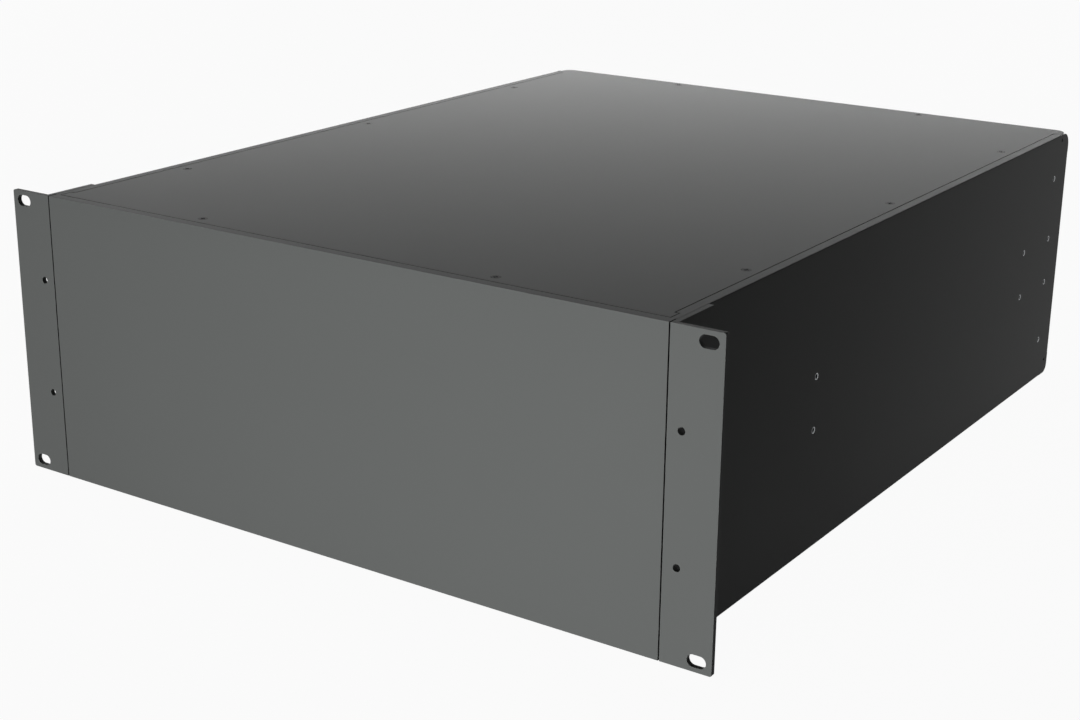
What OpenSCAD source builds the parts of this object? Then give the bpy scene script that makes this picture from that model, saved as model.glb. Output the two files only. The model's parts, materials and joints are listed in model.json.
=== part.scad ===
/* [Front panel and rack ears] */
// Width across both rack ears, mm
panel_w = 482.6; // [482.2:0.1:483]
// Height of the front panel, the ears and the body, mm
unit_h = 177; // [176:0.5:222]
// Thickness of the front panel plate, mm
front_t = 6.35; // [5.5:0.05:8]
// Thickness of a rack ear, mm
ear_t = 3; // [2.5:0.1:4]
// Length of the ear leg that lies on the side, from the front face, mm
leg_len = 37; // [32:1:60]
// Distance from the rear edge of the ear leg to its screws, mm
leg_screw_inset = 15; // [12:0.5:16]
// Radius of the outer corners of an ear, mm
ear_corner_r = 1.2; // [0.8:0.2:3]
// Open seam between the front panel and an ear, mm
seam = 0.7; // [0.3:0.1:1.5]
// Distance from the outer edge of an ear to the middle of its slots, mm
slot_inset = 8.75; // [8.4:0.05:9]
// Distance from the top or bottom edge to the nearest rack slot, mm
slot_edge = 5.95; // [5.5:0.05:8]
// Length of a rack slot end to end, mm
slot_len = 10.8; // [8:0.1:12]
// Width of a rack slot, mm
slot_w = 6.8; // [6:0.1:7.4]
// Distance from the side of the body to the handle holes, mm
handle_inset = 8; // [7.5:0.5:11]
// Distance between the two handle holes of an ear, mm
handle_span_z = 71.2; // [50:0.1:100]
// Diameter of a handle hole, mm
handle_hole_d = 4.2; // [3.2:0.1:5.2]

/* [Body] */
// Distance that an ear reaches past the side panel, mm
ear_reach = 29.8; // [29:0.1:31]
// Depth from the front face to the rear face, mm
body_depth = 555; // [545:5:700]
// Thickness of the folded sheet, mm
sheet_t = 1.2; // [1:0.1:1.5]
// Inside radius of every fold, mm
bend_r = 0.3; // [0.2:0.1:0.5]
// Outside radius of every fold, kept tight by a groove cut along the fold line, mm
bend_out_r = 0.4; // [0.3:0.1:1]
// Width of the side flange that lies flush with the cover, mm
strip_w = 6; // [5:0.5:8]
// Width of the cover strip that shows beside the side flange, mm
ledge_w = 18.5; // [16:0.5:24]
// Length of the notch at the front end of the side flange, mm
notch_len = 9; // [6:0.5:14]
// Width of the side flange left beside the notch, mm
notch_strip_w = 3.5; // [2.5:0.5:4.5]
// Length of side panel behind the end of its flange, mm
rear_plain = 14; // [12:0.5:20]
// Radius of the upper rear corner of a side panel, mm
rear_top_r = 10; // [4:0.5:12]
// Radius of the lower rear corner of a side panel, mm
rear_bottom_r = 6; // [3:0.5:12]
// Width of the front and rear flanges of a side panel, mm
end_flange_w = 15.5; // [13:0.5:20]
// Distance from the top or bottom to the end of the rear flange, mm
rear_flange_end = 14; // [13:0.5:24]
// Distance from the top or bottom to the end of the front flange, mm
front_flange_end = 28; // [27:0.5:40]

/* [Covers] */
// Gap around a cover, mm
cover_gap = 0.6; // [0.3:0.1:1]
// Distance from a cover edge to the line of its screws, mm
screw_inset = 7.5; // [6.5:0.5:9]
// Distance between neighbouring screws along a side, mm
side_screw_pitch = 179.5; // [150:0.5:200]
// Distance between the two screws of the front and rear edges, mm
end_screw_span = 202; // [120:1:300]
// Radius of the rear corners of a cover, mm
cover_corner_r = 8; // [4:0.5:10]

/* [Holes in the side panels] */
// Diameter of a slide mounting hole, mm
slide_hole_d = 4; // [3:0.1:5]
// Front pair of slide holes, from the front face, mm
slide_front = 164; // [120:1:220]
// Distance from the front pair to the rear pair, mm
slide_pitch = 320; // [200:1:330]
// Height between the two holes of a pair, mm
slide_span_z = 31.6; // [20:0.1:60]
// Last column of holes, measured back from the rear face, mm
support_inset = 23; // [21:0.5:30]
// Height between the outer holes of the last column, mm
support_span_z = 117.6; // [90:0.1:140]
// Distance from the ends of the rear flange to the outer rear panel screws, mm
rear_screw_end = 16; // [12:1:30]
// Diameter of the relief holes near the rear corners, mm
relief_d = 2.6; // [2:0.1:3]
// Distance from the top to the upper relief hole, mm
relief_top = 3.8; // [3.4:0.1:4.5]
// Distance from the rear to the lower relief hole, mm
relief_rear = 6; // [5:0.5:8]
// Distance from the bottom to the lower relief hole, mm
relief_bottom = 10.5; // [9.5:0.5:11]

/* [Front rails and rear panel] */
// Height of the upright leg of a front rail, mm
rail_h = 24; // [22:0.5:26]
// Depth of the flange that carries a cover, mm
rail_depth = 20; // [18:0.5:26]
// Height of the end tabs of a front rail, mm
tab_h = 19; // [16:0.5:20]
// Length of the end tabs of a front rail, mm
tab_len = 26; // [24:0.5:30]
// Gap beside parts that slide past each other, mm
slide_gap = 0.5; // [0.3:0.1:1]

/* [Fasteners] */
// Thread diameter of the cover and rear screws, mm
small_d = 3; // [3:0.5:3.5]
// Head diameter of a cover screw, mm
small_head_d = 5.6; // [5.2:0.1:6]
// Length of a cover or rear screw, mm
small_len = 6; // [5:0.5:8]
// Thread diameter of the ear and front panel screws, mm
large_d = 4; // [3.5:0.5:4]
// Head diameter of an ear or front panel screw, mm
large_head_d = 7.6; // [7:0.1:8]
// Length of an ear screw, mm
ear_screw_len = 9; // [8:0.5:10]
// Length of a front panel screw under its head, mm
front_screw_len = 6; // [5:0.25:6]
// Clearance between a thread and its hole, mm
thread_gap = 0.1; // [0.05:0.05:0.2]
// Clearance of a plain hole around a screw, mm
hole_gap = 0.4; // [0.3:0.1:0.6]
// Diameter of the earth stud, mm
stud_d = 4; // [4:0.5:5]
// Length of the earth stud inside the case, mm
stud_len = 14; // [10:1:18]

/* [Hidden] */
$fn = 64;
body_w = panel_w - 2 * ear_reach;
front_y = -ear_t;
back_y = front_y + front_t;
rear_y = front_y + body_depth;
half_h = unit_h / 2;
half_w = body_w / 2;
web_in = half_w - sheet_t;
bend_o = bend_r + sheet_t;
cover_low = half_h - sheet_t;
ledge_low = cover_low - sheet_t;
ledge_in = half_w - strip_w - ledge_w;
notch_end = back_y + notch_len;
fold_end = rear_y - rear_plain;
front_flange_top = half_h - front_flange_end;
rear_flange_top = half_h - rear_flange_end;
cover_x = half_w - strip_w - cover_gap;
cover_front = back_y + cover_gap;
cover_mid = (cover_front + rear_y) / 2;
cover_screw_x = cover_x - screw_inset;
front_screw_y = cover_front + screw_inset;
rear_screw_y = rear_y - screw_inset + cover_gap;
end_flange_x = half_w - end_flange_w / 2;
rail_x = ledge_in - slide_gap;
rail_low = cover_low - rail_h;
tab_top = rail_low + tab_h;
tab_z = (rail_low + tab_top) / 2;
ear_screw_y = front_y + leg_len - leg_screw_inset;
ear_inner_z = tab_z / 3;
rail_screw_z = cover_low - rail_h / 2;
rail_screw_x = [-150, -50, 50, 150];
flange_screw_z = front_flange_top / 2;
rear_face_in = rear_y - 2 * sheet_t;
rear_screw_z = [rear_screw_end - rear_flange_top, 0, rear_flange_top - rear_screw_end];
slot_x = panel_w / 2 - slot_inset;
handle_x = half_w + handle_inset;
small_head_h = (small_head_d - small_d) / 2;
large_head_h = (large_head_d - large_d) / 2;
small_nut_d = 6.3;
small_nut_h = 2;
small_spigot_d = 4.2;
large_nut_d = 7.9;
large_nut_h = 2;
large_spigot_d = 5.4;
spigot_h = 0.8 * sheet_t;
pan_h = 2.4;
recess_w = 0.7;
recess_depth = 1.1;
earth_pos = [0, -50];
washer_d = 9;
washer_t = 0.8;
nut_flats = 7;
nut_h = 3.2;
blind_floor = 1.3;
eps = 0.5;
side_rows = [cover_mid - side_screw_pitch, cover_mid, cover_mid + side_screw_pitch];
slide_rows = [front_y + slide_front, front_y + slide_front + slide_pitch];

// Mirrored pair across the middle height
module both_z() {
  children();
  mirror([0, 0, 1]) children();
}

// Mirrored pair across the middle width
module both_x() {
  children();
  mirror([1, 0, 0]) children();
}

// Section drawn in x and z, drawn out along y
module along_y(y0, y1) {
  translate([0, y1, 0]) rotate([90, 0, 0]) linear_extrude(height = y1 - y0) children();
}

// Section drawn in y and z, drawn out along x
module along_x(x0, x1) {
  translate([x0, 0, 0]) rotate([90, 0, 90]) linear_extrude(height = x1 - x0) children();
}

// Section drawn in x and y, drawn out along z
module along_z(z0, z1) {
  translate([0, 0, z0]) linear_extrude(height = z1 - z0) children();
}

// Fold with its outer corner at the origin and its flange along the first axis
module fold(flange) {
  difference() {
    square(bend_o);
    translate([bend_o, bend_o]) circle(r = bend_r);
    translate([bend_out_r, bend_out_r]) rotate(180) corner_waste(bend_out_r);
  }
  translate([bend_o, 0]) square([flange - bend_o, sheet_t]);
}

// Waste outside a rounded corner whose centre is the origin
module corner_waste(r) {
  difference() {
    square(r + eps);
    circle(r = r);
  }
}

// Bar with round ends, centred
module slot_shape(length, width) {
  run = (length - width) / 2;
  translate([-run, -width / 2]) square([2 * run, width]);
  translate([-run, 0]) circle(d = width);
  translate([run, 0]) circle(d = width);
}

// Round hole through the whole width of a flange or plate, along y
module hole_y(x, z, d, y0, y1) {
  translate([x, y0, z]) rotate([-90, 0, 0]) cylinder(h = y1 - y0, d = d);
}

// Round hole along z
module hole_z(x, y, d, z0, z1) {
  translate([x, y, z0]) cylinder(h = z1 - z0, d = d);
}

// Round hole along x
module hole_x(y, z, d, x0, x1) {
  translate([x0, y, z]) rotate([0, 90, 0]) cylinder(h = x1 - x0, d = d);
}

// Cross shaped driver recess, open at the origin and cut downwards
module cross_recess(size) {
  translate([-size / 2, -recess_w / 2, -recess_depth]) cube([size, recess_w, recess_depth + eps]);
  translate([-recess_w / 2, -size / 2, -recess_depth]) cube([recess_w, size, recess_depth + eps]);
}

// Countersunk screw with its flat head at the origin, pointing down
module flat_screw(d, head_d, head_h, length) {
  difference() {
    union() {
      translate([0, 0, -head_h]) cylinder(h = head_h, d1 = d, d2 = head_d);
      translate([0, 0, -length]) cylinder(h = length - head_h, d = d);
    }
    cross_recess(head_d * 0.55);
  }
}

// Pan head screw seated at the origin, pointing down
module pan_screw(d, head_d, length) {
  difference() {
    union() {
      cylinder(h = pan_h, d = head_d);
      translate([0, 0, -length]) cylinder(h = length, d = d);
    }
    translate([0, 0, pan_h]) cross_recess(head_d * 0.55);
  }
}

// Countersunk hole for a flat screw, open at the origin and cut downwards
module flat_hole(d, head_d, depth) {
  translate([0, 0, -depth - eps]) cylinder(h = depth + 2 * eps, d = d + hole_gap);
  cone_d = head_d + thread_gap;
  cone_h = (cone_d - d) / 2;
  translate([0, 0, -cone_h]) cylinder(h = cone_h, d1 = d, d2 = cone_d);
  cylinder(h = eps, d = cone_d);
}

// Clinch nut, body below the origin and its spigot in the sheet above
module clinch_nut(d, body_d, body_h, spigot_d) {
  difference() {
    union() {
      translate([0, 0, -body_h]) cylinder(h = body_h, d = body_d);
      cylinder(h = spigot_h, d = spigot_d);
    }
    translate([0, 0, -body_h - eps]) cylinder(h = body_h + spigot_h + 2 * eps, d = d + thread_gap);
  }
}

module small_nut() {
  clinch_nut(small_d, small_nut_d, small_nut_h, small_spigot_d);
}

module large_nut() {
  clinch_nut(large_d, large_nut_d, large_nut_h, large_spigot_d);
}

// Places of the ten screws of one cover
module cover_screw_places(z) {
  both_x() for (y = side_rows) translate([cover_screw_x, y, z]) children();
  both_x() for (y = [front_screw_y, rear_screw_y]) translate([end_screw_span / 2, y, z]) children();
}

// Plate with blind tapped holes in its back
module front_panel_shape() {
  difference() {
    along_y(front_y, back_y) translate([-half_w + seam, -half_h]) square([body_w - 2 * seam, unit_h]);
    both_z() for (x = rail_screw_x)
      hole_y(x, rail_screw_z, large_d + thread_gap, front_y + blind_floor, back_y + eps);
    both_z() both_x()
      hole_y(end_flange_x, flange_screw_z, large_d + thread_gap, front_y + blind_floor, back_y + eps);
  }
}

module front_panel() {
  color("#5f6160") front_panel_shape();
}

// Face of an ear in x and z
module ear_outline() {
  difference() {
    translate([half_w, -half_h]) square([panel_w / 2 - half_w, unit_h]);
    for (s = [-1, 1])
      translate([panel_w / 2 - ear_corner_r, s * (half_h - ear_corner_r)])
        scale([1, s]) corner_waste(ear_corner_r);
    for (s = [-1, 1])
      translate([slot_x, s * (half_h - slot_edge)]) slot_shape(slot_len, slot_w);
    for (s = [-1, 1])
      translate([handle_x, s * handle_span_z / 2]) circle(d = handle_hole_d);
  }
}

// Angle with a slotted face and a leg that lies on the side panel
module ear_shape() {
  difference() {
    union() {
      along_y(front_y, 0) ear_outline();
      translate([half_w, front_y, -half_h]) cube([ear_t, leg_len, unit_h]);
    }
    both_z() for (z = [ear_inner_z, tab_z])
      translate([half_w + ear_t, ear_screw_y, z]) rotate([0, 90, 0]) flat_hole(large_d, large_head_d, ear_t);
  }
}

module rack_ear_right() {
  color("#5f6160") ear_shape();
}

module rack_ear_left() {
  color("#5f6160") mirror([1, 0, 0]) ear_shape();
}

// Side panel outline in y and z
module web_outline() {
  difference() {
    translate([back_y, -half_h]) square([rear_y - back_y, unit_h]);
    translate([rear_y - rear_top_r, half_h - rear_top_r]) corner_waste(rear_top_r);
    translate([rear_y - rear_bottom_r, rear_bottom_r - half_h]) scale([1, -1]) corner_waste(rear_bottom_r);
  }
}

// Side flange of a given width, folded in from the upper edge
module side_flange(width) {
  translate([half_w, half_h]) scale([-1, -1]) fold(width);
}

module side_panel_shape() {
  difference() {
    union() {
      difference() {
        along_x(web_in, half_w) web_outline();
        both_z() translate([web_in - eps, back_y - eps, half_h - bend_o])
          cube([sheet_t + 2 * eps, fold_end - back_y + eps, bend_o + eps]);
        translate([web_in - eps, rear_y - bend_o, -rear_flange_top])
          cube([sheet_t + 2 * eps, bend_o + eps, 2 * rear_flange_top]);
        translate([web_in - eps, back_y - eps, -front_flange_top])
          cube([sheet_t + 2 * eps, bend_o + eps, 2 * front_flange_top]);
      }
      both_z() along_y(notch_end, fold_end) side_flange(strip_w);
      both_z() along_y(back_y, notch_end) side_flange(notch_strip_w);
      along_z(-rear_flange_top, rear_flange_top)
        translate([half_w, rear_y]) scale([-1, -1]) fold(end_flange_w);
      along_z(-front_flange_top, front_flange_top)
        translate([half_w, back_y]) scale([-1, 1]) fold(end_flange_w);
    }
    both_z() hole_y(end_flange_x, flange_screw_z, large_d + hole_gap, back_y - eps, back_y + sheet_t + eps);
    for (z = rear_screw_z) hole_y(end_flange_x, z, small_d + hole_gap, rear_y - sheet_t - eps, rear_y + eps);
    both_z() hole_x(ear_screw_y, tab_z, large_d + hole_gap, web_in - eps, half_w + eps);
    both_z() hole_x(ear_screw_y, ear_inner_z, large_spigot_d + thread_gap, web_in - eps, half_w + eps);
    both_z() for (y = slide_rows) hole_x(y, slide_span_z / 2, slide_hole_d, web_in - eps, half_w + eps);
    both_z() for (z = [slide_span_z / 2, support_span_z / 2])
      hole_x(rear_y - support_inset, z, slide_hole_d, web_in - eps, half_w + eps);
    hole_x(fold_end, half_h - relief_top, relief_d, web_in - eps, half_w + eps);
    hole_x(rear_y - relief_rear, relief_bottom - half_h, relief_d, web_in - eps, half_w + eps);
  }
}

module side_panel_right() {
  color("#3a3b3b") side_panel_shape();
}

module side_panel_left() {
  color("#3a3b3b") mirror([1, 0, 0]) side_panel_shape();
}

// Strips welded under the side flanges, one sheet lower, that carry the covers
module cover_strips_shape() {
  both_z() difference() {
    translate([ledge_in, notch_end, ledge_low])
      cube([web_in - slide_gap - ledge_in, fold_end - notch_end, sheet_t]);
    for (y = side_rows)
      hole_z(cover_screw_x, y, small_spigot_d + thread_gap, ledge_low - eps, cover_low + eps);
  }
}

module cover_strips_right() {
  color("#77797a") cover_strips_shape();
}

module cover_strips_left() {
  color("#77797a") mirror([1, 0, 0]) cover_strips_shape();
}

// Cover outline with front and rear tabs that fill the ends of the side flanges
module cover_outline() {
  front_tab_x = half_w - notch_strip_w - slide_gap;
  rear_tab_x = web_in - cover_gap;
  difference() {
    union() {
      translate([-cover_x, cover_front]) square([2 * cover_x, rear_y - cover_front]);
      translate([-front_tab_x, cover_front]) square([2 * front_tab_x, notch_end - cover_gap - cover_front]);
      translate([-rear_tab_x, fold_end + cover_gap]) square([2 * rear_tab_x, rear_plain - cover_gap]);
    }
    for (s = [-1, 1])
      translate([s * (rear_tab_x - cover_corner_r), rear_y - cover_corner_r])
        scale([s, 1]) corner_waste(cover_corner_r);
  }
}

module cover_shape() {
  difference() {
    along_z(cover_low, half_h) cover_outline();
    cover_screw_places(half_h) flat_hole(small_d, small_head_d, sheet_t);
  }
}

module top_cover() {
  color("#6a6b6b") cover_shape();
}

module bottom_cover() {
  color("#6a6b6b") mirror([0, 0, 1]) cover_shape();
}

// Blank rear plate with a folded flange under each cover
module rear_panel_shape() {
  plate_x = web_in - slide_gap;
  difference() {
    union() {
      along_x(-plate_x, plate_x)
        translate([rear_face_in, bend_o - cover_low]) square([sheet_t, 2 * (cover_low - bend_o)]);
      both_z() along_x(-rail_x, rail_x)
        translate([rear_y - sheet_t, cover_low]) scale([-1, -1]) fold(rail_depth);
    }
    both_z() both_x()
      hole_z(end_screw_span / 2, rear_screw_y, small_spigot_d + thread_gap, ledge_low - eps, cover_low + eps);
    both_x() for (z = rear_screw_z)
      hole_y(end_flange_x, z, small_spigot_d + thread_gap, rear_face_in - eps, rear_y - sheet_t + eps);
    hole_y(earth_pos[0], earth_pos[1], stud_d + thread_gap, rear_face_in - eps, rear_y - sheet_t + eps);
  }
}

module rear_panel() {
  color("#3a3b3b") rear_panel_shape();
}

// Angle behind the front panel with end tabs on the side panels
module front_rail_shape() {
  reach = web_in - bend_o;
  difference() {
    union() {
      along_x(-reach, reach)
        translate([back_y, rail_low]) square([sheet_t, rail_h - bend_o]);
      along_x(-rail_x, rail_x)
        translate([back_y, cover_low]) scale([1, -1]) fold(rail_depth);
      both_x() along_z(rail_low, tab_top)
        translate([web_in, back_y]) rotate(90) fold(tab_len);
    }
    both_x() hole_z(end_screw_span / 2, front_screw_y, small_spigot_d + thread_gap, ledge_low - eps, cover_low + eps);
    for (x = rail_screw_x) hole_y(x, rail_screw_z, large_d + hole_gap, back_y - eps, back_y + sheet_t + eps);
    both_x() hole_x(ear_screw_y, tab_z, large_spigot_d + thread_gap, web_in - sheet_t - eps, web_in + eps);
  }
}

module front_top_rail() {
  color("#77797a") front_rail_shape();
}

module front_bottom_rail() {
  color("#77797a") mirror([0, 0, 1]) front_rail_shape();
}

module top_cover_screws() {
  color("#2c2c2d") cover_screw_places(half_h)
    flat_screw(small_d, small_head_d, small_head_h, small_len);
}

module bottom_cover_screws() {
  color("#2c2c2d") mirror([0, 0, 1]) cover_screw_places(half_h)
    flat_screw(small_d, small_head_d, small_head_h, small_len);
}

// Nuts in the cover strips and beside the ear leg of the right side panel
module side_nuts_shape() {
  both_z() for (y = side_rows) translate([cover_screw_x, y, ledge_low]) small_nut();
  both_z() translate([web_in, ear_screw_y, ear_inner_z]) rotate([0, 90, 0]) large_nut();
}

module side_nuts_right() {
  color("#b9bbbc") side_nuts_shape();
}

module side_nuts_left() {
  color("#b9bbbc") mirror([1, 0, 0]) side_nuts_shape();
}

module front_rail_nuts() {
  color("#b9bbbc") both_z() both_x() {
    translate([end_screw_span / 2, front_screw_y, ledge_low]) small_nut();
    translate([web_in - sheet_t, ear_screw_y, tab_z]) rotate([0, 90, 0]) large_nut();
  }
}

module rear_panel_nuts() {
  color("#b9bbbc") {
    both_z() both_x() translate([end_screw_span / 2, rear_screw_y, ledge_low]) small_nut();
    both_x() for (z = rear_screw_z)
      translate([end_flange_x, rear_face_in, z]) rotate([-90, 0, 0]) small_nut();
  }
}

// Four screws through the leg of the right ear
module ear_screws_shape() {
  both_z() for (z = [ear_inner_z, tab_z])
    translate([half_w + ear_t, ear_screw_y, z]) rotate([0, 90, 0])
      flat_screw(large_d, large_head_d, large_head_h, ear_screw_len);
}

module ear_screws_right() {
  color("#2c2c2d") ear_screws_shape();
}

module ear_screws_left() {
  color("#2c2c2d") mirror([1, 0, 0]) ear_screws_shape();
}

module front_panel_screws() {
  color("#b9bbbc") {
    both_z() for (x = rail_screw_x)
      translate([x, back_y + sheet_t, rail_screw_z]) rotate([-90, 0, 0])
        pan_screw(large_d, large_head_d, front_screw_len);
    both_z() both_x()
      translate([end_flange_x, back_y + sheet_t, flange_screw_z]) rotate([-90, 0, 0])
        pan_screw(large_d, large_head_d, front_screw_len);
  }
}

module rear_panel_screws() {
  color("#2c2c2d") both_x() for (z = rear_screw_z)
    translate([end_flange_x, rear_y, z]) rotate([-90, 0, 0])
      pan_screw(small_d, small_head_d, small_len);
}

// Stud fixed in the rear panel, reaching into the case
module earth_stud() {
  color("#c9a45a") hole_y(earth_pos[0], earth_pos[1], stud_d, rear_face_in - stud_len, rear_y - sheet_t);
}

module earth_washer() {
  color("#c9a45a") difference() {
    hole_y(earth_pos[0], earth_pos[1], washer_d, rear_face_in - washer_t, rear_face_in);
    hole_y(earth_pos[0], earth_pos[1], stud_d + hole_gap, rear_face_in - washer_t - eps, rear_face_in + eps);
  }
}

module earth_nut() {
  nut_y = rear_face_in - washer_t - nut_h;
  color("#c9a45a") difference() {
    translate([earth_pos[0], nut_y, earth_pos[1]]) rotate([-90, 0, 0])
      cylinder(h = nut_h, d = nut_flats / cos(30), $fn = 6);
    hole_y(earth_pos[0], earth_pos[1], stud_d + thread_gap, nut_y - eps, nut_y + nut_h + eps);
  }
}

front_panel();
rack_ear_left();
rack_ear_right();
side_panel_left();
side_panel_right();
cover_strips_left();
cover_strips_right();
top_cover();
bottom_cover();
rear_panel();
front_top_rail();
front_bottom_rail();
top_cover_screws();
bottom_cover_screws();
side_nuts_left();
side_nuts_right();
front_rail_nuts();
rear_panel_nuts();
ear_screws_left();
ear_screws_right();
front_panel_screws();
rear_panel_screws();
earth_stud();
earth_washer();
earth_nut();
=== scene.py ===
import json
import math

import bmesh
import bpy
from mathutils import Matrix, Vector


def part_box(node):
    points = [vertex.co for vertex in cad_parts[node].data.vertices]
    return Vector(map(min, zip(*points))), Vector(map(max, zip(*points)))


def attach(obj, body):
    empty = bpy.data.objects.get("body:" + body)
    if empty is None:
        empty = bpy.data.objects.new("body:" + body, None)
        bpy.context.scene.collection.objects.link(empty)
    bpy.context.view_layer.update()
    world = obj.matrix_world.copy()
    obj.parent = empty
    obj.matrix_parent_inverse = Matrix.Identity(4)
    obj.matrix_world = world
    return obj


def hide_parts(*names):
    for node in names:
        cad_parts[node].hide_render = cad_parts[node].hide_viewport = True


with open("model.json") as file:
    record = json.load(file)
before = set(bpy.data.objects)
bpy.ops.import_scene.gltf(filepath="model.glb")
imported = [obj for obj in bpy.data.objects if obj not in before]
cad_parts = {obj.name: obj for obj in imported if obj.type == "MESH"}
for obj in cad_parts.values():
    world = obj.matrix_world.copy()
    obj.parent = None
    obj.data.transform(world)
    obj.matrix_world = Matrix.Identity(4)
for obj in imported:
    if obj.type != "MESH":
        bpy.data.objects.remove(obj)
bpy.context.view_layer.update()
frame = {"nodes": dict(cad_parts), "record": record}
cadNodes = frame["nodes"]
scene = bpy.context.scene
print("case frame loaded,", len(cadNodes), "nodes")


# sRGB hex to the linear colour that the shaders take
def linearColor(hexCode):
    parts = [int(hexCode[i:i + 2], 16) / 255 for i in (1, 3, 5)]
    linear = [p / 12.92 if p <= 0.04045 else ((p + 0.055) / 1.055) ** 2.4 for p in parts]
    return (*linear, 1.0)


# One node with its settings, socket values and incoming links
def addNode(tree, kind, settings=None, values=None, links=None):
    node = tree.nodes.new(kind)
    for name, value in (settings or {}).items():
        setattr(node, name, value)
    for name, value in (values or {}).items():
        node.inputs[name].default_value = value
    for name, source in (links or {}).items():
        tree.links.new(source, node.inputs[name])
    return node


def newMaterial(name):
    material = bpy.data.materials.new(name)
    material.use_nodes = True
    tree = material.node_tree
    tree.nodes.clear()
    return material, tree


# Faces that lie in a joint are painted with shade: a dull diffuse in a dark colour takes the place of
# the finish, a painted shadow for the gap where little light reaches
def paintJointShade(tree, shader, paintedShadeColor):
    joint = addNode(tree, "ShaderNodeAttribute", {"attribute_name": "paintedJointShade"}).outputs["Fac"]
    paintedShadeBsdf = addNode(tree, "ShaderNodeBsdfDiffuse", None, {"Color": linearColor(paintedShadeColor)}).outputs[0]
    mixed = addNode(tree, "ShaderNodeMixShader")
    tree.links.new(joint, mixed.inputs[0])
    tree.links.new(shader, mixed.inputs[1])
    tree.links.new(paintedShadeBsdf, mixed.inputs[2])
    return mixed.outputs[0]


# Satin powder coat on steel and aluminium: sprayed, baked, a faint orange peel, thinner
# and a little lighter where the coat pulls back from an edge. Sizes and depths are in
# metres, clouds per metre
powderCoat = {
    "paint": "#626463",
    "mottle": "#606261",
    "edge": "#7C7F7D",
    "edgeShare": 0.45,
    # joint: colour of the painted shade in the seams, a painted shadow for the gaps
    "joint": "#0C0C0C",
    "roughness": (0.20, 0.22),
    "specular": 0.012,
    "mottleClouds": 9.0,
    "rubClouds": 60.0,
    "glossClouds": 34.0,
    "peelSize": 0.0024,  # drawn a little coarse, so that it shows
    "peelDepth": 0.00002,
    "grainSize": 0.0006,
    "grainDepth": 0.000006,
}

# Black coat of the screw heads: the same kind of paint, dipped, thinner and duller
screwCoat = {
    "paint": "#2E2F2F",
    "mottle": "#292A2A",
    "edge": "#4C4D4D",
    "edgeShare": 0.5,
    # joint: colour of the painted shade on the rims of the heads, the dark ring where they sit in the
    # countersinks
    "joint": "#080808",
    "roughness": (0.24, 0.3),
    "specular": 0.012,
    "mottleClouds": 9.0,
    "rubClouds": 60.0,
    "glossClouds": 34.0,
    "peelSize": 0.0008,
    "peelDepth": 0.000008,
    "grainSize": 0.0003,
    "grainDepth": 0.000004,
}


def makePowderCoat(name, spec):
    material, tree = newMaterial(name)
    place = addNode(tree, "ShaderNodeTexCoord").outputs["Object"]
    cloud = addNode(tree, "ShaderNodeTexNoise", None,
                    {"Scale": spec["mottleClouds"], "Detail": 3.0, "Roughness": 0.55},
                    {"Vector": place}).outputs["Fac"]
    paint = addNode(tree, "ShaderNodeMix", {"data_type": "RGBA"})
    paint.inputs[6].default_value = linearColor(spec["mottle"])
    paint.inputs[7].default_value = linearColor(spec["paint"])
    tree.links.new(cloud, paint.inputs[0])
    band = addNode(tree, "ShaderNodeAttribute", {"attribute_name": "edgeBand"}).outputs["Fac"]
    rub = addNode(tree, "ShaderNodeTexNoise", None,
                  {"Scale": spec["rubClouds"], "Detail": 4.0}, {"Vector": place}).outputs["Fac"]
    rubbed = addNode(tree, "ShaderNodeMapRange", None,
                     {"From Min": 0.3, "From Max": 0.7, "To Min": 0.2, "To Max": spec["edgeShare"]},
                     {"Value": rub}).outputs["Result"]
    share = addNode(tree, "ShaderNodeMath", {"operation": "MULTIPLY"})
    tree.links.new(band, share.inputs[0])
    tree.links.new(rubbed, share.inputs[1])
    color = addNode(tree, "ShaderNodeMix", {"data_type": "RGBA"})
    color.inputs[7].default_value = linearColor(spec["edge"])
    tree.links.new(share.outputs[0], color.inputs[0])
    tree.links.new(paint.outputs[2], color.inputs[6])
    handled = addNode(tree, "ShaderNodeTexNoise", None,
                      {"Scale": spec["glossClouds"], "Detail": 5.0, "Roughness": 0.6},
                      {"Vector": place}).outputs["Fac"]
    gloss = addNode(tree, "ShaderNodeMapRange", None,
                    {"From Min": 0.3, "From Max": 0.7,
                     "To Min": spec["roughness"][0], "To Max": spec["roughness"][1]},
                    {"Value": handled}).outputs["Result"]
    peel = addNode(tree, "ShaderNodeTexNoise", None,
                   {"Scale": 1 / spec["peelSize"], "Detail": 1.0}, {"Vector": place}).outputs["Fac"]
    grain = addNode(tree, "ShaderNodeTexNoise", None,
                    {"Scale": 1 / spec["grainSize"], "Detail": 2.0}, {"Vector": place}).outputs["Fac"]
    soft = addNode(tree, "ShaderNodeBump", None,
                   {"Strength": 0.5, "Distance": spec["peelDepth"]}, {"Height": peel}).outputs["Normal"]
    bump = addNode(tree, "ShaderNodeBump", None,
                   {"Strength": 0.5, "Distance": spec["grainDepth"]},
                   {"Height": grain, "Normal": soft}).outputs["Normal"]
    shader = addNode(tree, "ShaderNodeBsdfPrincipled", None,
                     {"IOR": 1.5, "Specular IOR Level": spec["specular"]},
                     {"Base Color": color.outputs[2], "Roughness": gloss, "Normal": bump})
    addNode(tree, "ShaderNodeOutputMaterial", None, None,
            {"Surface": paintJointShade(tree, shader.outputs[0], spec["joint"])})
    return material


# Plated metals: stamped or turned parts with crystals of the size "cell" and a light
# grain, in metres
plating = {
    # joint: colour of the painted shade on faces that lie in a joint
    "zincPlate": {"light": "#A6A8A9", "dark": "#8C8F91", "roughness": (0.38, 0.52), "cell": 0.004,
                  "joint": "#5A5B5C"},
    "earthBrass": {"light": "#D9B56A", "dark": "#C49A4C", "roughness": (0.26, 0.4), "cell": 0.0015,
                   "joint": "#6A5428"},
}
platingGrain = {"clouds": 3200.0, "strength": 0.4, "depth": 0.000008}


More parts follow.
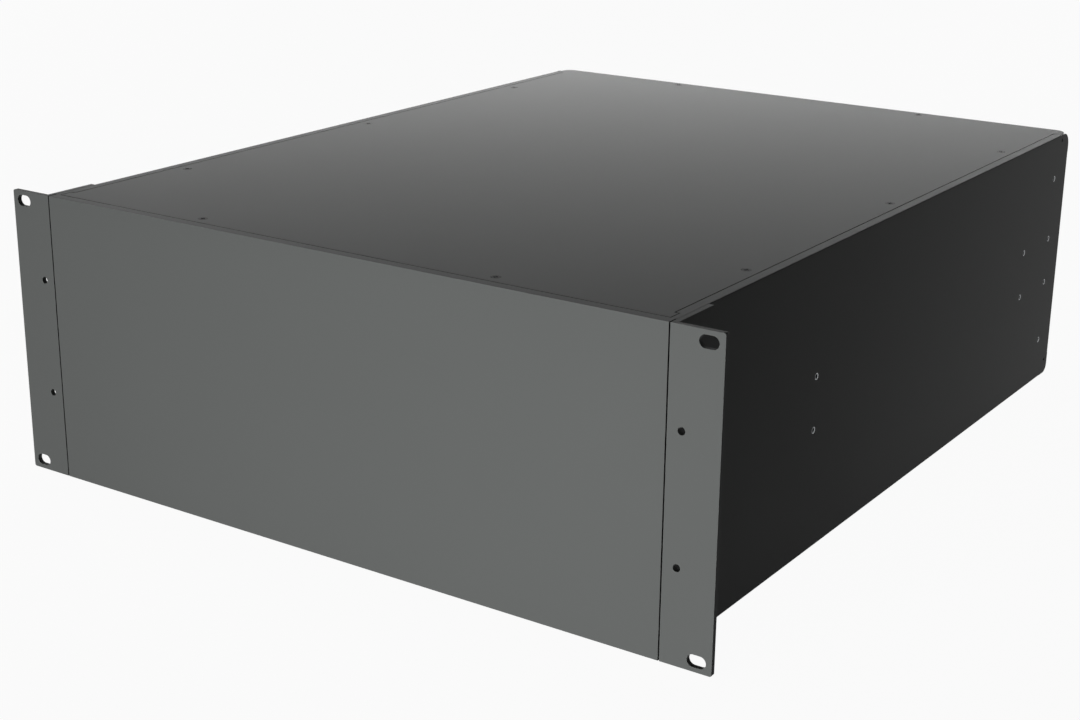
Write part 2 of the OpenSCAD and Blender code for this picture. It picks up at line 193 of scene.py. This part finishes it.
def makePlated(name, spec):
    material, tree = newMaterial(name)
    place = addNode(tree, "ShaderNodeTexCoord").outputs["Object"]
    cell = addNode(tree, "ShaderNodeTexVoronoi", None,
                   {"Scale": 1 / spec["cell"]}, {"Vector": place}).outputs["Color"]
    value = addNode(tree, "ShaderNodeRGBToBW", None, None, {"Color": cell}).outputs["Val"]
    color = addNode(tree, "ShaderNodeMix", {"data_type": "RGBA"})
    color.inputs[6].default_value = linearColor(spec["dark"])
    color.inputs[7].default_value = linearColor(spec["light"])
    tree.links.new(value, color.inputs[0])
    gloss = addNode(tree, "ShaderNodeMapRange", None,
                    {"To Min": spec["roughness"][0], "To Max": spec["roughness"][1]},
                    {"Value": value}).outputs["Result"]
    grain = addNode(tree, "ShaderNodeTexNoise", None,
                    {"Scale": platingGrain["clouds"], "Detail": 2.0}, {"Vector": place}).outputs["Fac"]
    bump = addNode(tree, "ShaderNodeBump", None,
                   {"Strength": platingGrain["strength"], "Distance": platingGrain["depth"]},
                   {"Height": grain}).outputs["Normal"]
    shader = addNode(tree, "ShaderNodeBsdfPrincipled", None, {"Metallic": 1.0},
                     {"Base Color": color.outputs[2], "Roughness": gloss, "Normal": bump})
    addNode(tree, "ShaderNodeOutputMaterial", None, None,
            {"Surface": paintJointShade(tree, shader.outputs[0], spec["joint"])})
    return material


# The finish of every material slot, laid on the nodes of the case
finish = {
    "case_paint": makePowderCoat("powderCoat", powderCoat),
    "zinc_steel": makePlated("zincPlate", plating["zincPlate"]),
    "screw_black": makePowderCoat("screwCoat", screwCoat),
    "earth_brass": makePlated("earthBrass", plating["earthBrass"]),
}
slotOf = {part["node"]: part["material_slot"] for part in frame["record"]["subparts"]}
for nodeName, nodeObject in cadNodes.items():
    nodeObject.data.materials.clear()
    nodeObject.data.materials.append(finish[slotOf[nodeName]])
print("finishes made")

# Dressed copy of each node: its name, the radius of its deburred edges in metres, and
# the joints that its edges lie in, where shade is painted. Edges on the plane "seat", where an ear leg
# lies on the side, stay square
dressedNodes = {
    "front_panel": {"piece": "frontPlate", "edgeRadius": 0.0003, "joint": "ears"},
    "rack_ear_left": {"piece": "earLeft", "edgeRadius": 0.0003, "joint": "legs", "seat": -0.2115},
    "rack_ear_right": {"piece": "earRight", "edgeRadius": 0.0003, "joint": "legs", "seat": 0.2115},
    "side_panel_left": {"piece": "sideLeft", "edgeRadius": 0.0004, "joint": "covers"},
    "side_panel_right": {"piece": "sideRight", "edgeRadius": 0.0004, "joint": "covers"},
    "top_cover": {"piece": "coverTop", "edgeRadius": 0.0004, "joint": "covers"},
    "bottom_cover": {"piece": "coverBottom", "edgeRadius": 0.0004, "joint": "covers"},
    "rear_panel": {"piece": "rearPlate", "edgeRadius": 0.00015, "joint": None},
    "top_cover_screws": {"piece": "screwsTop", "edgeRadius": 0.0003, "joint": "covers"},
    "bottom_cover_screws": {"piece": "screwsBottom", "edgeRadius": 0.0003, "joint": "covers"},
    "ear_screws_left": {"piece": "screwsEarLeft", "edgeRadius": 0.0002, "joint": None},
    "ear_screws_right": {"piece": "screwsEarRight", "edgeRadius": 0.0002, "joint": None},
    "rear_panel_screws": {"piece": "screwsRear", "edgeRadius": 0.00015, "joint": None},
}

# Edges sharper than "sharp" are rounded in a few segments, and faces that meet flatter
# than "flat" become one. Points nearer than "merge" are joined, points nearer than
# "onPlane" lie on a plane, and a face is upright where less than "upright" of it faces up
dressing = {"sharp": math.radians(40), "flat": math.radians(0.3), "merge": 1e-6, "onPlane": 1e-5,
            "upright": 0.3, "segments": 2}

# Where the joints that get painted shade are, in metres: beside the covers near the top and the bottom,
# short of the rear edge, which is open, then at the ends of the front plate and inside the ears
jointPlaces = {
    "covers": lambda place, facing: abs(place.z) > 0.0868 and place.y < 0.5495,
    "ears": lambda place, facing: abs(place.x) > 0.2103 and abs(facing.x) > 0.3,
    "legs": lambda place, facing: abs(place.x) < 0.2116 and abs(facing.x) > 0.3,
}


# Whether an edge lies on the plane where an ear leg meets the side
def onSeat(edge, seat):
    return seat is not None and all(abs(v.co.x - seat) < dressing["onPlane"] for v in edge.verts)


# Whether a face lies in a joint of the given kind
def inJoint(face, joint):
    return joint is not None and all(jointPlaces[joint](v.co, face.normal) for v in face.verts)


# A merged copy of a node with its sharp edges rounded over, the rounding marked either
# as worn edge or as painted joint shade, and the upright cut walls in a joint painted with shade too
def dressNode(nodeName, spec):
    mesh = cadNodes[nodeName].data.copy()
    shape = bmesh.new()
    shape.from_mesh(mesh)
    bmesh.ops.remove_doubles(shape, verts=shape.verts[:], dist=dressing["merge"])
    bmesh.ops.dissolve_limit(shape, angle_limit=dressing["flat"], verts=shape.verts[:],
                             edges=shape.edges[:], use_dissolve_boundaries=False)
    band = shape.faces.layers.float.new("edgeBand")
    joint = shape.faces.layers.float.new("paintedJointShade")
    corners = [e for e in shape.edges if len(e.link_faces) == 2
               and e.calc_face_angle() > dressing["sharp"] and not onSeat(e, spec.get("seat"))]
    for face in shape.faces:
        face.smooth = True
        face[joint] = float(inJoint(face, spec["joint"]) and abs(face.normal.z) < dressing["upright"])
    made = bmesh.ops.bevel(shape, geom=corners, offset=spec["edgeRadius"], offset_type="OFFSET",
                           segments=dressing["segments"], profile=0.5, affect="EDGES", material=-1,
                           clamp_overlap=True, loop_slide=True)
    shape.normal_update()
    for edge in shape.edges:
        edge.smooth = not onSeat(edge, spec.get("seat"))
    for face in made["faces"]:
        face.smooth = True
        face[joint if inJoint(face, spec["joint"]) else band] = 1.0
    shape.to_mesh(mesh)
    shape.free()
    mesh.name = spec["piece"]
    piece = bpy.data.objects.new(spec["piece"], mesh)
    scene.collection.objects.link(piece)
    level = piece.modifiers.new("flatFaces", "WEIGHTED_NORMAL")
    level.keep_sharp = True
    level.weight = 100
    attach(piece, "root")
    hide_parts(nodeName)
    return piece


for nodeName, spec in dressedNodes.items():
    dressNode(nodeName, spec)
print("plates and screws dressed")

# Threaded bushes pressed almost flush into the side holes, the light marks on the side:
# diameters, depth, bevel of the rim and how far they are sunk, in metres
pressedThread = {"outer": 0.00396, "bore": 0.0031, "depth": 0.0011, "rim": 0.00012, "sunk": 0.00003,
                 "steps": 40, "holes": ("slide_holes", "rear_inner_holes", "rear_outer_holes")}


# Middle of every side hole on the outer face of its side panel, and the way it faces
def sideHolePlaces(spec):
    places = []
    for mount in frame["record"]["mounts"]:
        if not mount["name"].startswith(spec["holes"]):
            continue
        rightSide = mount["axis"][0] > 0
        low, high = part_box("side_panel_right" if rightSide else "side_panel_left")
        face = high[0] if rightSide else low[0]
        halfLength = mount["dims"].get("spacing_x_mm", 0) / 2000
        halfHeight = mount["dims"]["spacing_y_mm"] / 2000
        for along in sorted({-halfLength, halfLength}):
            for up in (-halfHeight, halfHeight):
                place = Vector((face, mount["pos_m"][1] + along, mount["pos_m"][2] + up))
                places.append((1 if rightSide else -1, place))
    return places


def makePressedThreads(spec):
    shape = bmesh.new()
    outer, bore = spec["outer"] / 2, spec["bore"] / 2
    profile = [(-spec["depth"], outer), (0.0, outer), (0.0, bore + spec["rim"]),
               (-spec["rim"], bore), (-spec["depth"], bore)]
    for outward, place in sideHolePlaces(spec):
        others = set(shape.verts)
        ring = [shape.verts.new((outward * (x - spec["sunk"]), r, 0)) for x, r in profile]
        edges = [shape.edges.new((ring[i], ring[(i + 1) % len(ring)])) for i in range(len(ring))]
        bmesh.ops.spin(shape, geom=ring + edges, cent=(0, 0, 0), axis=(1, 0, 0), dvec=(0, 0, 0),
                       angle=2 * math.pi, steps=spec["steps"], use_merge=True, use_duplicate=False)
        bmesh.ops.translate(shape, verts=[v for v in shape.verts if v not in others], vec=place)
    bmesh.ops.remove_doubles(shape, verts=shape.verts[:], dist=1e-7)
    bmesh.ops.recalc_face_normals(shape, faces=shape.faces[:])
    for face in shape.faces:
        face.smooth = abs(face.normal.x) < 0.9
    mesh = bpy.data.meshes.new("pressedThreads")
    shape.to_mesh(mesh)
    shape.free()
    mesh.materials.append(finish["zinc_steel"])
    piece = bpy.data.objects.new("pressedThreads", mesh)
    scene.collection.objects.link(piece)
    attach(piece, "root")
    return piece


makePressedThreads(pressedThread)
print("pressed threads set in the sides")

# Pale floor just under the case, in metres. Camera, gloss and glass see it and the
# surroundings as white, and the floor keeps a part of its own shade for the shadow
floorSpec = {"half": 14.0, "level": -0.0889, "color": "#CFCFCE", "white": 0.95}
surroundings = {"shade": 0.014, "white": 1.0}


# How much white a ray sees: the given share for camera, gloss and glass, else none
def addWhiteShare(tree, share):
    path = addNode(tree, "ShaderNodeLightPath")
    seen = addNode(tree, "ShaderNodeMath", {"operation": "ADD"})
    tree.links.new(path.outputs["Is Camera Ray"], seen.inputs[0])
    tree.links.new(path.outputs["Is Glossy Ray"], seen.inputs[1])
    through = addNode(tree, "ShaderNodeMath", {"operation": "ADD", "use_clamp": True})
    tree.links.new(seen.outputs[0], through.inputs[0])
    tree.links.new(path.outputs["Is Transmission Ray"], through.inputs[1])
    scaled = addNode(tree, "ShaderNodeMath", {"operation": "MULTIPLY"})
    scaled.inputs[1].default_value = share
    tree.links.new(through.outputs[0], scaled.inputs[0])
    return scaled.outputs[0]


def makeFloor(spec):
    shape = bmesh.new()
    bmesh.ops.create_grid(shape, x_segments=1, y_segments=1, size=spec["half"])
    bmesh.ops.translate(shape, verts=shape.verts[:], vec=(0, 0, spec["level"]))
    mesh = bpy.data.meshes.new("floor")
    shape.to_mesh(mesh)
    shape.free()
    floor = bpy.data.objects.new("floor", mesh)
    scene.collection.objects.link(floor)
    material, tree = newMaterial("paleFloor")
    plain = addNode(tree, "ShaderNodeBsdfDiffuse", None, {"Color": linearColor(spec["color"])})
    white = addNode(tree, "ShaderNodeEmission", None, {"Color": (1, 1, 1, 1), "Strength": 1.0})
    mixed = addNode(tree, "ShaderNodeMixShader")
    tree.links.new(addWhiteShare(tree, spec["white"]), mixed.inputs[0])
    tree.links.new(plain.outputs[0], mixed.inputs[1])
    tree.links.new(white.outputs[0], mixed.inputs[2])
    addNode(tree, "ShaderNodeOutputMaterial", None, None, {"Surface": mixed.outputs[0]})
    mesh.materials.append(material)


makeFloor(floorSpec)


def makeSurroundings(spec):
    world = bpy.data.worlds.new("studio")
    world.use_nodes = True
    tree = world.node_tree
    tree.nodes.clear()
    shade = addNode(tree, "ShaderNodeBackground", None,
                    {"Color": (1, 1, 1, 1), "Strength": spec["shade"]})
    white = addNode(tree, "ShaderNodeBackground", None, {"Color": (1, 1, 1, 1), "Strength": 1.0})
    mixed = addNode(tree, "ShaderNodeMixShader")
    tree.links.new(addWhiteShare(tree, spec["white"]), mixed.inputs[0])
    tree.links.new(shade.outputs[0], mixed.inputs[1])
    tree.links.new(white.outputs[0], mixed.inputs[2])
    addNode(tree, "ShaderNodeOutputWorld", None, None, {"Surface": mixed.outputs[0]})
    scene.world = world


makeSurroundings(surroundings)

# Soft lamps: size, place and aim in metres, power in watts, spread in degrees, and
# whether shiny faces mirror the lamp
lamps = {
    "keyLamp": {"size": (0.5, 0.22), "place": (-0.55, -2.6, 0.05), "aim": (0.34, 0.0, 0.0),
                "power": 8.2, "spread": 58, "mirrored": False},
    "leftLamp": {"size": (1.4, 0.4), "place": (-3.9, 0.4, 0.3), "aim": (-0.2, 0.3, 0.0),
                 "power": 55, "spread": 120, "mirrored": False},
    "rearLamp": {"size": (0.8, 0.3), "place": (-0.3, 3.9, 0.18), "aim": (0.0, 0.55, 0.0),
                 "power": 3.3, "spread": 30, "mirrored": False},
    "farLamp": {"size": (4.5, 0.6), "place": (-3.7, 6.0, 0.7), "aim": (0.0, 0.3, 0.08),
                "power": 35, "spread": 180, "mirrored": True},
    "topLamp": {"size": (1.6, 1.6), "place": (-0.5, 0.3, 2.6), "aim": (0.0, 0.27, 0.09),
                "power": 1.2, "spread": 90, "mirrored": False},
}


def makeLamp(name, spec):
    lamp = bpy.data.lights.new(name, "AREA")
    lamp.shape = "RECTANGLE"
    lamp.size, lamp.size_y = spec["size"]
    lamp.energy = spec["power"]
    lamp.spread = math.radians(spec["spread"])
    lampObject = bpy.data.objects.new(name, lamp)
    scene.collection.objects.link(lampObject)
    lampObject.visible_camera = False
    lampObject.visible_glossy = spec["mirrored"]
    place = Vector(spec["place"])
    aim = (Vector(spec["aim"]) - place).to_track_quat("-Z", "Y")
    lampObject.matrix_world = Matrix.Translation(place) @ aim.to_matrix().to_4x4()


for lampName, spec in lamps.items():
    makeLamp(lampName, spec)
print("floor and lamps set")

# Camera fitted to the photograph's edges: metres, degrees, focal length in picture widths
cameraSpec = {"place": (0.62716, -0.73234, 0.34887), "azimuth": 33.84, "elevation": 18.48,
              "roll": 0.65, "focal": 1871.4 / 1080}


def makeCamera(spec):
    azimuth, elevation, roll = (math.radians(spec[k]) for k in ("azimuth", "elevation", "roll"))
    back = Vector((math.sin(azimuth) * math.cos(elevation), -math.cos(azimuth) * math.cos(elevation),
                   math.sin(elevation)))
    right = Vector((0, 0, 1)).cross(back).normalized()
    up = back.cross(right)
    turnedRight = math.cos(roll) * right + math.sin(roll) * up
    turnedUp = math.cos(roll) * up - math.sin(roll) * right
    camera = bpy.data.cameras.new("camera")
    camera.sensor_width = 36.0
    camera.lens = spec["focal"] * camera.sensor_width
    cameraObject = bpy.data.objects.new("camera", camera)
    scene.collection.objects.link(cameraObject)
    turn = Matrix((turnedRight, turnedUp, back)).transposed().to_4x4()
    cameraObject.matrix_world = Matrix.Translation(Vector(spec["place"])) @ turn
    scene.camera = cameraObject


makeCamera(cameraSpec)
scene.view_settings.view_transform = "Standard"
print("camera set")

bpy.context.view_layer.update()
